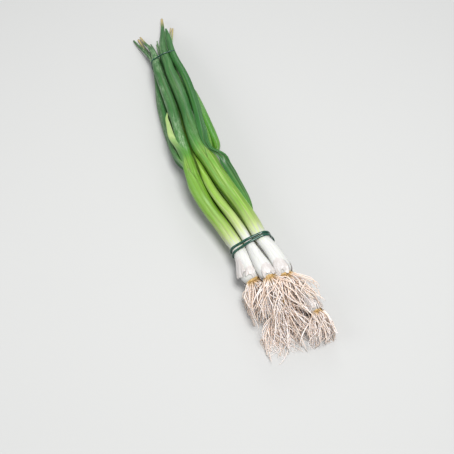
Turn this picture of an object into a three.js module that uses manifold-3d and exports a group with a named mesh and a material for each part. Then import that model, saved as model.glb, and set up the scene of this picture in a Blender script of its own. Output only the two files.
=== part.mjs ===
// A bunch of seven spring onions, lying down. Each onion has a white shank that runs up into its youngest
// leaf, one or two side leaves that leave it at a fork, and a tuft of roots. A rubber band wound twice holds
// the shanks, and a thin band holds the leaves. Millimetres, +Z up, leaves towards +Y. While the bunch is
// laid out, y = 0 is at the doubled band and z = 0 is the surface that it lies on.
import * as THREE from "three";
import { mergeVertices } from "three/addons/utils/BufferGeometryUtils.js";
import Module from "manifold-3d";

const wasm = await Module();
wasm.setup();

// Driving dimensions
const STEP = 16; // spacing of the cross-sections, which all pieces share
const SIDES = 10; // sides of a shank or leaf
const PRESS_GAP = 0.5; // clear space between pieces that press on each other
const LOWER_BAND = { y: 0, strand: 0.9, apart: 1.9, hump: 2.3 };
const UPPER_BAND = { y: 256, strand: 0.7 };
const BAND_GAP = 0.45; // clear space between a band and what it holds
const BAND_RISE = 45; // how far from a band the pieces still hang clear of the surface
const BAND_CLEAR = 0.1; // clear space between a band and the surface
const ROOT = { radius: 0.6, sides: 3, steps: 5, strands: 16, plate: 2.6 };
const SPREAD = { least: 0.87, bulbs: 0.08, forks: 0.14, tips: 0.5 }; // against the places at the doubled band
const DROOP = 0.65; // how much lower the leaves lie at their tips than at the upper band
const WAIST = { depth: 0.05, length: 9 }; // where the doubled band nips a shank
const DOME = { length: 7, radius: 9.5 }; // a shank's rounded base
const BULB = { from: 3, length: 22 }; // how soon a shank widens towards its base, past the doubled band
const BESIDE = 0.94; // share of two radii between a side leaf's middle and the youngest leaf's
const LEAF_START = { radius: 3, out: 0.84, length: 40 }; // "out" is a share of the shank's radius
const TIP = { length: 75, least: 0.22, power: 0.75 }; // how a leaf narrows to its blunt tip
const PINCH = { depth: 0.2, length: 45 }; // where the upper band presses a leaf's hollow flat

// Each onion's place in the cross-section at the doubled band, its radius there, at its fork and at its base,
// the y of its base, of its fork and of its youngest leaf's tip, that leaf's radius, its root length, and how
// its base turns out sideways. A side leaf has the angle of the side that it leaves by (0 is +X, 90 is up),
// where it starts and ends, and its radius. The youngest leaves that lie on top, and a side leaf that is bent
// over the others, have a path of their own, as [y, x, z].
const ONIONS = [
  {
    name: "onion_1", x: -13.6, z: 21.5, radius: 8, wide: 7.6, base: -33, fork: 112, tip: 320, leaf: 6.3,
    bulb: 9.5, roots: 44, flare: [-8, 0],
    path: [[64, -22.6, 29], [93, -23.6, 30.5], [119, -20.8, 32.5], [147, -15.6, 34], [176, -11.2, 34],
      [203, -8.8, 33], [229, -6.6, 32]],
    leaves: [
      { side: 215, start: 96, tip: 320, radius: 5 },
      { side: 150, start: 112, tip: 176, radius: 2.8 },
    ],
  },
  {
    name: "onion_2", x: 0.4, z: 32.4, radius: 5.3, wide: 4.8, base: -40, fork: 128, tip: 288, leaf: 3.9,
    bulb: 7.6, roots: 44, flare: [-6, 2],
    path: [[59, -12.2, 31.5], [90, -12.6, 31], [116, -11.2, 28.5], [144, -8.3, 25], [175, -4.5, 23],
      [210, -1, 22]],
    leaves: [{ side: 290, start: 144, tip: 304, radius: 4 }],
  },
  {
    name: "onion_3", x: 13, z: 30.6, radius: 7.9, wide: 8.8, base: -43, fork: 128, tip: 336, leaf: 7,
    bulb: 8.8, roots: 46, flare: [-3, 2],
    path: [[71, 1, 34], [104, -1.6, 35.5], [124, -3, 36.5], [139, -3.2, 37.5], [163, -0.2, 37.5],
      [190, 2.4, 36.5], [219, 3, 35]],
    leaves: [{ side: 325, start: 112, tip: 320, radius: 4.8 }],
  },
  {
    name: "onion_4", x: 15.8, z: 15.6, radius: 7, wide: 7.4, base: -80, fork: 64, tip: 320, leaf: 5.6,
    bulb: 7.2, roots: 30, flare: [9, 0],
    leaves: [
      {
        side: 30, start: 16, tip: 304, radius: 4.4,
        path: [[16, 18, 21], [48, 16, 27], [80, 14, 36], [96, 7, 43.5], [112, 1, 46], [128, 2.4, 45.6],
          [160, 10, 40], [208, 16.6, 34], [256, 19, 30], [304, 27, 19]],
      },
      { side: 320, start: 96, tip: 320, radius: 5.4 },
    ],
  },
  {
    name: "onion_5", x: 0.8, z: 18.6, radius: 5.8, wide: 6.3, base: -60, fork: 128, tip: 272, leaf: 4.4,
    bulb: 6, roots: 36, flare: [0, 0],
    leaves: [{ side: 200, start: 144, tip: 304, radius: 4.4 }],
  },
  {
    name: "onion_6", x: -7.4, z: 6.8, radius: 6.6, wide: 7.1, base: -66, fork: 96, tip: 304, leaf: 5,
    bulb: 6.8, roots: 34, flare: [-4, 0],
    leaves: [{ side: 185, start: 96, tip: 320, radius: 5.6 }],
  },
  {
    name: "onion_7", x: 7, z: 6.6, radius: 6.5, wide: 7, base: -58, fork: 80, tip: 288, leaf: 5.2,
    bulb: 6.7, roots: 38, flare: [3, 0],
    leaves: [{ side: 345, start: 80, tip: 320, radius: 5.6 }],
  },
];

const COLOURS = {
  shank: { color: "#e9efd8", roughness: 0.35 },
  leaf: { color: "#3f7f3c", roughness: 0.5 },
  roots: { color: "#e3cdb8", roughness: 0.8 },
  band: { color: "#0f4a38", roughness: 0.4 },
};

// Small helpers
const clamp = THREE.MathUtils.clamp;
const lerp = THREE.MathUtils.lerp;
const smooth = (value, from, to) => THREE.MathUtils.smoothstep(value, from, to);
const radians = THREE.MathUtils.degToRad;

// A repeatable random draw between 0 and 1.
function seededDraw(seed) {
  let state = seed >>> 0;
  return () => {
    state = (Math.imul(state, 1664525) + 1013904223) >>> 0;
    return state / 2 ** 32;
  };
}

// A smooth curve of x over y through a few points.
function curveOver(ys, values) {
  const curve = new THREE.CubicInterpolant(ys, values, 1);
  return (y) => curve.evaluate(clamp(y, ys[0], ys.at(-1)))[0];
}

// The bunch's own middle line, which curves gently to the side.
const MIDDLE_Z = 19;
const middleX = curveOver([-100, 0, 50, 100, 170, 223, 256, 345], [6, 0, -5, -8, -5, 1, 5, 16]);

// How low a piece may lie at y: the bands pass underneath and lift the bunch there.
function surfaceAt(y) {
  const thickness = (band) => 2 * band.strand + BAND_GAP + BAND_CLEAR;
  const lift = (band) => thickness(band) * (1 - smooth(Math.abs(y - band.y), 6, BAND_RISE));
  return Math.max(lift(LOWER_BAND), lift(UPPER_BAND));
}

// How far the shanks and leaves stand apart at y, against their places at the doubled band.
function spreadAt(y) {
  const bulbs = SPREAD.bulbs * smooth(-y, 8, 80);
  const forks = SPREAD.forks * smooth(y, 20, 110) * (1 - smooth(y, 130, UPPER_BAND.y - 30));
  const tips = SPREAD.tips * smooth(y, UPPER_BAND.y + 10, 345);
  return SPREAD.least + bulbs + forks + tips;
}

// How far the leaves droop towards the surface past the upper band.
const droopAt = (y) => 1 - DROOP * smooth(y, UPPER_BAND.y - 10, 340);

// The rods: one for each shank with its youngest leaf, and one for each side leaf
const LEAN = 0.5; // how far a youngest leaf gives way to each side leaf

const sideOf = (leaf) => new THREE.Vector2(Math.cos(radians(leaf.side)), Math.sin(radians(leaf.side)));

// Where a piece with a path of its own follows it: from just before its first point to just past its last.
function onPath(path, y) {
  const [from, to] = [path[0][0], path.at(-1)[0]];
  return smooth(y, from - 30, from) * (1 - smooth(y, to, to + 40));
}

function shankRod(onion) {
  const away = onion.leaves.reduce((sum, leaf) => sum.sub(sideOf(leaf)), new THREE.Vector2());
  const radius = (y) => {
    const shank = lerp(onion.radius, onion.wide, smooth(y, 10, onion.fork));
    const stem = lerp(shank, onion.leaf, smooth(y, onion.fork - 6, onion.fork + 34));
    const body = lerp(stem, onion.bulb, smooth(-y, BULB.from, BULB.length));
    const waist = 1 - WAIST.depth * Math.exp(-((y / WAIST.length) ** 2));
    const below = Math.max(onion.base + DOME.length - y, 0);
    const dome = Math.sqrt(clamp(1 - (below / DOME.radius) ** 2, 0.1, 1));
    return body * waist * dome * tipTaper(y, onion.tip);
  };
  const home = (y) => {
    const out = smooth(-y, 10, 80);
    const across = middleX(y) + onion.x * spreadAt(y) + onion.flare[0] * out;
    const up = (MIDDLE_Z + (onion.z - MIDDLE_Z) * spreadAt(y)) * droopAt(y) + onion.flare[1] * out;
    const lean = LEAN * smooth(y, onion.fork, onion.fork + 50);
    const place = new THREE.Vector2(across, up).addScaledVector(away, lean);
    return onion.path ? place.lerp(pathOver(onion.path)(y), onPath(onion.path, y)) : place;
  };
  const name = onion.name + "_shank";
  return { name, kind: "shank", onion, from: onion.base, to: onion.tip, radius, home };
}

// How much a leaf narrows towards its tip, and where the upper band presses its hollow flat.
function tipTaper(y, tip) {
  const pinch = 1 - PINCH.depth * Math.exp(-(((y - UPPER_BAND.y) / PINCH.length) ** 2));
  return pinch * Math.max(clamp((tip - y) / TIP.length, 0, 1) ** TIP.power, TIP.least);
}

function pathOver(path) {
  const ys = path.map(([y]) => y);
  const across = curveOver(ys, path.map(([, x]) => x));
  const up = curveOver(ys, path.map(([, , z]) => z));
  return (y) => new THREE.Vector2(across(y), up(y));
}

function leafRod(onion, leaf, index, parent) {
  const side = sideOf(leaf);
  const grown = (y) => clamp((y - leaf.start) / LEAF_START.length, 0, 1) ** 0.8;
  const radius = (y) => lerp(LEAF_START.radius, leaf.radius, grown(y)) * tipTaper(y, leaf.tip);
  const besideShank = (y) => {
    const away = lerp(onion.wide * LEAF_START.out, BESIDE * (onion.leaf + leaf.radius), grown(y));
    return parent.home(y).addScaledVector(side, away);
  };
  const home = leaf.path ? pathOver(leaf.path) : besideShank;
  const name = `${onion.name}_leaf_${index + 1}`;
  return { name, kind: "leaf", onion, leaf, side, parent, from: leaf.start, to: leaf.tip, radius, home };
}

const rods = ONIONS.flatMap((onion) => {
  const shank = shankRod(onion);
  return [shank, ...onion.leaves.map((leaf, i) => leafRod(onion, leaf, i, shank))];
});

// Laying the rods together: each one is a chain of stations that stays smooth, keeps off its neighbours,
// keeps above the surface, and is drawn in by the bands.
const STATION = 8;
const FIRST_Y = -96;
const LAST_Y = 344;
const STATION_COUNT = (LAST_Y - FIRST_Y) / STATION + 1;
const STATIONS = Array.from({ length: STATION_COUNT }, (_, k) => FIRST_Y + k * STATION);
const PASSES = 420;
const SQUEEZE = 0.93; // share of two radii that neighbours keep between their middles
const FLOOR_SQUEEZE = 0.94; // share of its radius that a rod's middle keeps above the surface
const HOLD = 0.012; // pull of a leaf's own place, in each pass
const SHANK_HOLD = 8; // times that, for the shanks below their forks
const PATH_HOLD = 0.5; // the same for a leaf with a path of its own
const PUSH = 0.3; // share of an overlap that each neighbour gives way in a pass
const EVEN = 0.45; // share of the way to its neighbours' average that a station moves in a pass
const WEIGHT = 0.1; // how far a rod sinks in each pass
const BANDS = [
  { y: LOWER_BAND.y, reach: 24 },
  { y: UPPER_BAND.y, reach: 44 },
];

for (const rod of rods) {
  rod.line = STATIONS.map((y) => rod.home(y));
  rod.isAt = STATIONS.map((y) => y >= rod.from - STATION && y <= rod.to + STATION);
}

function bandPull(y) {
  return BANDS.reduce((pull, band) => Math.max(pull, 1 - smooth(Math.abs(y - band.y), 4, band.reach)), 0);
}

function pushApart(a, b, k) {
  const between = b.line[k].clone().sub(a.line[k]);
  const reach = a.radius(STATIONS[k]) + b.radius(STATIONS[k]);
  const wanted = SQUEEZE * reach + PRESS_GAP;
  const distance = Math.max(between.length(), 0.1);
  if (distance >= wanted) return;
  const push = between.multiplyScalar((PUSH * (wanted - distance)) / distance);
  a.line[k].sub(push);
  b.line[k].add(push);
}

function holdOf(rod, y) {
  if (rod.leaf?.path) return PATH_HOLD;
  if (rod.kind === "leaf") return HOLD;
  const hold = HOLD * lerp(SHANK_HOLD, 1, smooth(y, 110, 220));
  return rod.onion.path ? lerp(hold, PATH_HOLD, onPath(rod.onion.path, y)) : hold;
}

function settleStation(k) {
  const y = STATIONS[k];
  const here = rods.filter((rod) => rod.isAt[k]);
  for (const [i, a] of here.entries()) {
    for (const b of here.slice(i + 1)) pushApart(a, b, k);
  }
  const pull = 0.05 * bandPull(y);
  for (const rod of here) {
    const place = rod.line[k];
    place.lerp(rod.home(y), holdOf(rod, y));
    place.x += pull * (middleX(y) - place.x);
    place.y += pull * (MIDDLE_Z - place.y) - WEIGHT * smooth(Math.abs(y), 30, 110);
    place.y = Math.max(place.y, surfaceAt(y) + FLOOR_SQUEEZE * rod.radius(y));
  }
}

function smoothRod(rod) {
  const before = rod.line.map((place) => place.clone());
  for (let k = 1; k < STATIONS.length - 1; k++) {
    if (!rod.isAt[k - 1] || !rod.isAt[k + 1]) continue;
    rod.line[k].lerp(before[k - 1].clone().add(before[k + 1]).multiplyScalar(0.5), EVEN);
  }
}

// A side leaf starts on its shank's side, so its first stations follow the shank.
function holdToShank(rod) {
  for (const [k, y] of STATIONS.entries()) {
    if (!rod.isAt[k] || y > rod.from + STATION) continue;
    const out = rod.parent.radius(y) * LEAF_START.out;
    rod.line[k].copy(rod.parent.line[k]).addScaledVector(rod.side, out);
  }
}

for (let pass = 0; pass < PASSES; pass++) {
  STATIONS.forEach((_, k) => settleStation(k));
  rods.forEach(smoothRod);
  rods.filter((rod) => rod.kind === "leaf").forEach(holdToShank);
}

// A rod's middle at any y.
function middleAt(rod, y) {
  const at = clamp((y - FIRST_Y) / STATION, 0, STATIONS.length - 1.001);
  const k = Math.floor(at);
  return rod.line[k].clone().lerp(rod.line[k + 1], at - k);
}

// Cross-sections: a rod's round section, cut back to a flat where it presses on a neighbour or the surface.
// Two neighbours share one flat along each step, so they stay apart between their cross-sections too.
const LEAST_SHARE = 0.4; // of its radius, that a rod keeps towards any neighbour
const LEAST_REACH = 0.4; // in millimetres, from its middle

function flatsAlong(rod, halfway) {
  const middle = middleAt(rod, halfway);
  const radius = rod.radius(halfway);
  const here = (other) => halfway > other.from - STEP / 2 && halfway < other.to + STEP / 2;
  return rods
    .filter((other) => other !== rod && here(other))
    .map((other) => {
      const towards = middleAt(other, halfway).sub(middle);
      const distance = towards.length();
      const otherRadius = other.radius(halfway);
      const even = (distance ** 2 + radius ** 2 - otherRadius ** 2) / (2 * distance);
      const share = clamp(even, LEAST_SHARE * radius, distance - LEAST_SHARE * otherRadius);
      towards.divideScalar(distance);
      return { towards, at: towards.dot(middle) + share - PRESS_GAP / 2 };
    });
}

function sectionAt(rod, y) {
  const middle = middleAt(rod, y);
  const radius = rod.radius(y);
  const surface = surfaceAt(y);
  const step = y / STEP;
  const halfways = new Set([Math.ceil(step - 1) + 0.5, Math.floor(step) + 0.5]);
  const flats = [...halfways].flatMap((halfway) => flatsAlong(rod, halfway * STEP));
  const reach = (angle) => {
    const out = new THREE.Vector2(Math.cos(angle), Math.sin(angle));
    let length = radius;
    for (const { towards, at } of flats) {
      const facing = towards.dot(out);
      if (facing > 0.02) length = Math.min(length, (at - towards.dot(middle)) / facing);
    }
    if (out.y < 0) length = Math.min(length, (middle.y - surface) / -out.y);
    return Math.max(length, LEAST_REACH);
  };
  return { middle, reach };
}

// A cylinder's vertices, moved to the cross-sections at the listed y.
function rodGeometry(rod, levels) {
  const geometry = new THREE.CylinderGeometry(1, 1, 1, SIDES, levels.length - 1, false, Math.PI / SIDES);
  const sections = levels.map((y) => sectionAt(rod, y));
  const vertices = geometry.getAttribute("position");
  const vertex = new THREE.Vector3();
  for (let i = 0; i < vertices.count; i++) {
    vertex.fromBufferAttribute(vertices, i);
    const level = Math.round((vertex.y + 0.5) * (levels.length - 1));
    const { middle, reach } = sections[level];
    const angle = Math.atan2(vertex.z, vertex.x);
    const out = Math.hypot(vertex.x, vertex.z) < 0.5 ? 0 : reach(angle);
    vertices.setXYZ(i, middle.x + out * Math.cos(angle), levels[level], middle.y + out * Math.sin(angle));
  }
  return geometry;
}

// The cross-sections that all pieces share, between a rod's two ends.
const shared = (from, to) => {
  const levels = [];
  for (let y = Math.ceil((from + 4) / STEP) * STEP; y <= to - 4; y += STEP) levels.push(y);
  return levels;
};

function shankLevels(rod) {
  const dome = [0, 1.2, 3.2, 6.5].map((up) => rod.from + up);
  return [...dome, ...shared(rod.from + 6.5, rod.to), rod.to];
}

const leafLevels = (rod) => [rod.from, ...shared(rod.from, rod.to), rod.to];

// Roots: strands that grow out of a small plate under the shank, fused to it. A geometry as a solid:
function solidOf(geometry) {
  const bare = geometry.clone();
  bare.deleteAttribute("normal");
  bare.deleteAttribute("uv");
  const merged = mergeVertices(bare, 1e-4);
  return new wasm.Manifold(
    new wasm.Mesh({
      numProp: 3,
      vertProperties: merged.getAttribute("position").array,
      triVerts: new Uint32Array(merged.getIndex().array),
    }),
  );
}

function geometryOf(solid) {
  const mesh = solid.getMesh();
  return new THREE.BufferGeometry()
    .setAttribute("position", new THREE.BufferAttribute(mesh.vertProperties, 3))
    .setIndex(new THREE.BufferAttribute(mesh.triVerts, 1));
}

// The plate's profile, from its face under the shank to its blunt underside.
function rootPlate(rod) {
  const radius = rod.radius(rod.from) * 0.92;
  const profile = [
    [0, 0],
    [radius, 0],
    [radius * 0.96, -ROOT.plate * 0.55],
    [radius * 0.6, -ROOT.plate],
    [0, -ROOT.plate * 1.1],
  ].map(([out, down]) => new THREE.Vector2(out, down));
  const middle = middleAt(rod, rod.from);
  const geometry = new THREE.LatheGeometry(profile.reverse(), 9);
  geometry.translate(middle.x, rod.from - 0.4, middle.y);
  return solidOf(geometry);
}

// A root keeps to its own onion's side of the bunch, off the other shanks and above the surface.
function keepToOwnSide(point, rod) {
  const own = middleAt(rod, point.y);
  for (const other of rods) {
    if (other === rod || other.kind !== "shank") continue;
    const towards = middleAt(other, point.y).sub(own);
    const distance = towards.length();
    towards.divideScalar(distance);
    const there = point.y > other.from - 6 ? other.radius(Math.max(point.y, other.from + 8)) : 0;
    const limit = Math.min(distance / 2 - ROOT.radius - 0.5, distance - there - ROOT.radius - 0.8);
    const out = (point.x - own.x) * towards.x + (point.z - own.y) * towards.y;
    if (out > limit) {
      point.x -= (out - limit) * towards.x;
      point.z -= (out - limit) * towards.y;
    }
  }
  point.z = Math.max(point.z, ROOT.radius + 0.15);
}

function rootStrand(rod, index, draw) {
  const share = Math.sqrt((index + 0.6) / ROOT.strands);
  const angle = index * Math.PI * (3 - Math.sqrt(5)) + 0.4 * draw();
  const plate = rod.radius(rod.from) * 0.7;
  const middle = middleAt(rod, rod.from);
  const length = rod.onion.roots * (0.62 + 0.38 * draw());
  const lean = (0.12 + 0.75 * share) * (0.6 + 0.7 * draw());
  const sway = 3.5 * (draw() - 0.5);
  const points = [];
  for (let step = 0; step <= ROOT.steps; step++) {
    const t = step / ROOT.steps;
    const out = plate * share + length * lean * (t - 0.35 * t * t);
    const drop = 0.3 * length * t * t;
    const point = new THREE.Vector3(
      middle.x + out * Math.cos(angle) + sway * Math.sin(3 * t),
      rod.from - 1.2 - length * (t - 0.12 * t * share),
      middle.y + out * Math.sin(angle) - drop,
    );
    keepToOwnSide(point, rod);
    points.push(point);
  }
  const triangle = new THREE.Shape(
    Array.from({ length: ROOT.sides }, (_, side) => {
      const turn = (side * 2 * Math.PI) / ROOT.sides;
      return new THREE.Vector2(ROOT.radius * Math.cos(turn), ROOT.radius * Math.sin(turn));
    }),
  );
  const path = new THREE.CatmullRomCurve3(points);
  return solidOf(new THREE.ExtrudeGeometry(triangle, { steps: ROOT.steps, extrudePath: path }));
}

function rootTuft(rod, seed) {
  const draw = seededDraw(seed);
  let tuft = rootPlate(rod);
  for (let index = 0; index < ROOT.strands; index++) tuft = tuft.add(rootStrand(rod, index, draw));
  const bodies = tuft.decompose().sort((a, b) => b.volume() - a.volume());
  return geometryOf(bodies[0]);
}

// Bands: a strand that follows the outline of what it holds
const cross = (o, a, b) => (a.x - o.x) * (b.y - o.y) - (a.y - o.y) * (b.x - o.x);

function outline(points) {
  const sorted = [...points].sort((a, b) => a.x - b.x || a.y - b.y);
  const half = (ordered) => {
    const chain = [];
    for (const point of ordered) {
      while (chain.length > 1 && cross(chain.at(-2), chain.at(-1), point) <= 0) chain.pop();
      chain.push(point);
    }
    return chain.slice(0, -1);
  };
  return [...half(sorted), ...half(sorted.reverse())];
}

// The closed line that stands off the outline of all rods near y by the given distance.
function bandLine(y, halfWidth, standOff) {
  const levels = [y - halfWidth, y, y + halfWidth];
  const across = (angle) => new THREE.Vector2(Math.cos(angle), Math.sin(angle));
  const angles = (count) => Array.from({ length: count }, (_, turn) => (turn * 2 * Math.PI) / count);
  const corners = rods
    .filter((rod) => rod.from < y && rod.to > y)
    .flatMap((rod) => levels.map((level) => sectionAt(rod, level)))
    .flatMap(({ middle, reach }) =>
      angles(24).map((angle) => middle.clone().addScaledVector(across(angle), reach(angle))),
    );
  const hull = outline(corners);
  const around = angles(180).map((angle) => {
    const out = across(angle);
    const furthest = hull.reduce((best, corner) => (corner.dot(out) > best.dot(out) ? corner : best));
    const place = furthest.clone().addScaledVector(out, standOff);
    return new THREE.Vector3(place.x, 0, place.y);
  });
  const path = new THREE.CatmullRomCurve3(around, true, "centripetal");
  path.arcLengthDivisions = 2000;
  return path;
}

// A torus's vertices, moved on to a strand that goes round the line the given number of times. A strand of
// two laps crosses over itself once, at a hump.
const CROSSING = 215 / 360; // where that is, as a share of the line
const HUMP_LENGTH = 0.42; // as an angle round the bunch
const SETTLE = 0.3; // the same for the sideways step between the two laps

function bandGeometry(line, band, laps, steps, sides) {
  const geometry = new THREE.TorusGeometry(1, 0.3, sides, steps);
  const vertices = geometry.getAttribute("position");
  for (let i = 0; i < vertices.count; i++) {
    const step = Math.floor(i % (steps + 1)) % steps;
    const side = Math.floor(i / (steps + 1)) % sides;
    const travelled = (laps * step) / steps;
    const lap = Math.floor(travelled);
    const share = travelled - lap;
    const place = line.getPointAt((CROSSING + share) % 1);
    const along = line.getTangentAt((CROSSING + share) % 1);
    const out = new THREE.Vector3(along.z, 0, -along.x);
    const sideways = laps > 1 ? bandSideways(band, lap, share) : 0;
    const hump = laps > 1 ? bandHump(band, lap, share) : 0;
    const angle = (side * 2 * Math.PI) / sides;
    place.addScaledVector(out, hump + band.strand * Math.cos(angle));
    place.y = band.y + sideways - band.strand * Math.sin(angle);
    vertices.setXYZ(i, place.x, place.y, place.z);
  }
  return geometry;
}

// The two laps lie side by side and change places where the strand crosses itself.
function bandSideways(band, lap, share) {
  const fromStart = 2 * Math.PI * share;
  const fromEnd = 2 * Math.PI * (1 - share);
  const settled = Math.tanh(Math.min(fromStart, fromEnd) / SETTLE);
  return (lap === 0 ? 1 : -1) * band.apart * settled;
}

// One of the two rises over the other there.
function bandHump(band, lap, share) {
  const onTop = (lap === 0) === share < 0.5;
  const fromCrossing = 2 * Math.PI * (share < 0.5 ? share : share - 1);
  return onTop ? band.hump * Math.exp(-((fromCrossing / HUMP_LENGTH) ** 2)) : 0;
}

function rubberBand() {
  const halfWidth = LOWER_BAND.apart + LOWER_BAND.strand;
  const line = bandLine(LOWER_BAND.y, halfWidth, BAND_GAP + LOWER_BAND.strand);
  return bandGeometry(line, LOWER_BAND, 2, 80, 5);
}

function leafBand() {
  const line = bandLine(UPPER_BAND.y, UPPER_BAND.strand, BAND_GAP + UPPER_BAND.strand);
  return bandGeometry(line, UPPER_BAND, 1, 44, 5);
}

// The finished group, with its origin under the middle of the bunch
function meshOf(name, geometry, colour) {
  const mesh = new THREE.Mesh(geometry, new THREE.MeshStandardMaterial(COLOURS[colour]));
  mesh.name = name;
  return mesh;
}

const bunch = new THREE.Group();
for (const [seed, rod] of rods.filter((each) => each.kind === "shank").entries()) {
  bunch.add(meshOf(rod.name, rodGeometry(rod, shankLevels(rod)), "shank"));
  bunch.add(meshOf(rod.onion.name + "_roots", rootTuft(rod, 11 + seed), "roots"));
}
for (const rod of rods.filter((each) => each.kind === "leaf")) {
  bunch.add(meshOf(rod.name, rodGeometry(rod, leafLevels(rod)), "leaf"));
}
bunch.add(meshOf("rubber_band", rubberBand(), "band"));
bunch.add(meshOf("leaf_band", leafBand(), "band"));

const box = new THREE.Box3().setFromObject(bunch, true);
const middle = box.getCenter(new THREE.Vector3());
bunch.position.set(-middle.x, -middle.y, -box.min.z);

const part = new THREE.Group();
part.add(bunch);
export default part;
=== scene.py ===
"""The looks of a bunch of spring onions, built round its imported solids.

Every shank and leaf is a fine skin through the cross-sections of its solid. Side leaves grow out of their
shank's outermost layer, roots hang from a root plate under each shank, and two bands hold the bunch.
Metres, +Z up, leaves towards +Y.
"""

import math
import random

import bpy
import numpy as np
from bpy.props import FloatProperty, FloatVectorProperty, IntProperty, PointerProperty
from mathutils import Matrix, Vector, geometry


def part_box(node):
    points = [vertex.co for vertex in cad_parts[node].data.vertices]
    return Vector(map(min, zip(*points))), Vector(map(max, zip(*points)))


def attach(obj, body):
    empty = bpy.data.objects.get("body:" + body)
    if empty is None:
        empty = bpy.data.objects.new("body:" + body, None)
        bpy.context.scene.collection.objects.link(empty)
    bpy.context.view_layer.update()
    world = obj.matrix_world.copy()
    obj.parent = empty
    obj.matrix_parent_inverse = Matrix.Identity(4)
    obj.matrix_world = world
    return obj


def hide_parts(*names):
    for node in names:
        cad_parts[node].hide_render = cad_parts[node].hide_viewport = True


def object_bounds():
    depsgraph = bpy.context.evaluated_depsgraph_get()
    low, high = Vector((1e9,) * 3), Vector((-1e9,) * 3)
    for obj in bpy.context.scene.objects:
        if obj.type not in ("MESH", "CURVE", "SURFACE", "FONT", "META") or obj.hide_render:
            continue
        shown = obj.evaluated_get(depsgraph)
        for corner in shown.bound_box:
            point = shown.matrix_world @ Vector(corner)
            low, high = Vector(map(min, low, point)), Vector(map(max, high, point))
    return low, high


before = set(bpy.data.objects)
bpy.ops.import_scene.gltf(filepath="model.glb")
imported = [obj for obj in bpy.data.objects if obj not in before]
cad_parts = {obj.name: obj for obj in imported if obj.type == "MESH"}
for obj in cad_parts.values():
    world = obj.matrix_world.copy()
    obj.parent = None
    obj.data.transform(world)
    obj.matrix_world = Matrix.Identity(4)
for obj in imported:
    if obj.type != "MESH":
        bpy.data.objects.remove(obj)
CAD_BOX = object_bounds()

bl_info = {
    "name": "Spring Onion Bunch",
    "version": (1, 0, 0),
    "blender": (4, 5, 0),
    "location": "View3D > Sidebar > Onions",
    "description": "Builds the skins, leaves, roots and bands of a tied bunch of spring onions",
    "category": "Add Mesh",
}

MM = 0.001
FULL_TURN = 2 * math.pi
GOLDEN_TURN = math.pi * (3 - math.sqrt(5))
BODY = "root"
LATE_GREEN = {"onion_2_shank": 40, "onion_4_shank": 70}  # millimetres for which these stay light green
BRIGHT_LEAVES = ("onion_3_leaf_1", "onion_4_leaf_2")  # young side leaves without a grey bloom low down
LATE_BLOOM = 70 * MM  # how much higher up those leaves have their bloom
THIN_BLOOM = {"onion_3_shank": 0.25}  # share of the others' grey bloom

SHANK_NODES = sorted(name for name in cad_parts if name.endswith("_shank"))
LEAF_NODES = sorted(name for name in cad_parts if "_leaf_" in name)
BENT_LEAF = "onion_4_leaf_1"
TORN_STRIP = "onion_1_leaf_2"


def middle_of(node):
    low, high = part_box(node)
    return (low + high) / 2


BAND_MIDDLE = middle_of("rubber_band")
BAND_Y = BAND_MIDDLE.y
LEAF_BAND_Y = middle_of("leaf_band").y


# Sizes and colours that a user may change


def length_property(name, description, default):
    return FloatProperty(name=name, description=description, default=default, unit="LENGTH")


def angle_property(name, description, degrees):
    return FloatProperty(name=name, description=description, default=math.radians(degrees), subtype="ANGLE")


def colour_property(name, description, red, green, blue):
    return FloatVectorProperty(
        name=name, description=description, subtype="COLOR", size=4, default=(red, green, blue, 1)
    )


class SkinSizes(bpy.types.PropertyGroup):
    """How finely shanks and leaves are drawn, and how a leaf leaves its shank"""

    columns: IntProperty(name="Columns", description="Faces round a shank or leaf", default=40, min=12)
    row_step: length_property("Row step", "Distance between rows of faces", 2.5 * MM)
    sheath_length: length_property("Sheath length", "How far a leaf's base runs down its shank", 36 * MM)
    sheath_lift: length_property("Sheath lift", "How far a leaf's base stands off its shank", 0.4 * MM)
    rib_height: length_property("Rib height", "Height of the lengthwise ribs", 0.07 * MM)


class RootSizes(bpy.types.PropertyGroup):
    """The roots and the plates that they grow from"""

    strands: IntProperty(name="Strands", description="Roots on each onion", default=100, min=8)
    radius: length_property("Radius", "Radius of a root at its plate", 0.72 * MM)
    length: length_property("Length", "Length of the longest roots", 47 * MM)
    curl: FloatProperty(name="Curl", description="How much a root sways", default=0.36, min=0)
    fall: FloatProperty(name="Fall", description="How much a root bends downwards", default=0.6, min=0)


class BandSizes(bpy.types.PropertyGroup):
    """The doubled rubber band and the thin band round the leaves"""

    strand: length_property("Strand", "Half the rubber band's width", 1.1 * MM)
    apart: length_property("Apart", "Half the distance between the two laps", 2.5 * MM)
    leaf_strand: length_property("Leaf strand", "Radius of the thin band", 0.6 * MM)


class PlantColours(bpy.types.PropertyGroup):
    """Colours of the plants and their bands"""

    white: colour_property("White", "Base of a shank", 0.64, 0.64, 0.61)
    pale: colour_property("Pale", "Shank at the band", 0.45, 0.54, 0.20)
    lime: colour_property("Lime", "Shank above the band", 0.20, 0.38, 0.030)
    green: colour_property("Green", "Lower leaf", 0.070, 0.26, 0.020)
    deep: colour_property("Deep green", "Upper leaf", 0.020, 0.130, 0.017)
    bloom: colour_property("Bloom", "Grey wax on the leaves", 0.25, 0.36, 0.21)
    membrane: colour_property("Membrane", "Thin edges", 0.68, 0.74, 0.40)
    straw: colour_property("Straw", "Dried leaf tips", 0.48, 0.36, 0.16)
    root: colour_property("Root", "Roots", 0.76, 0.60, 0.50)
    tan: colour_property("Tan", "Root plate", 0.52, 0.33, 0.11)
    rubber: colour_property("Rubber", "Both bands", 0.003, 0.046, 0.028)


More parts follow.
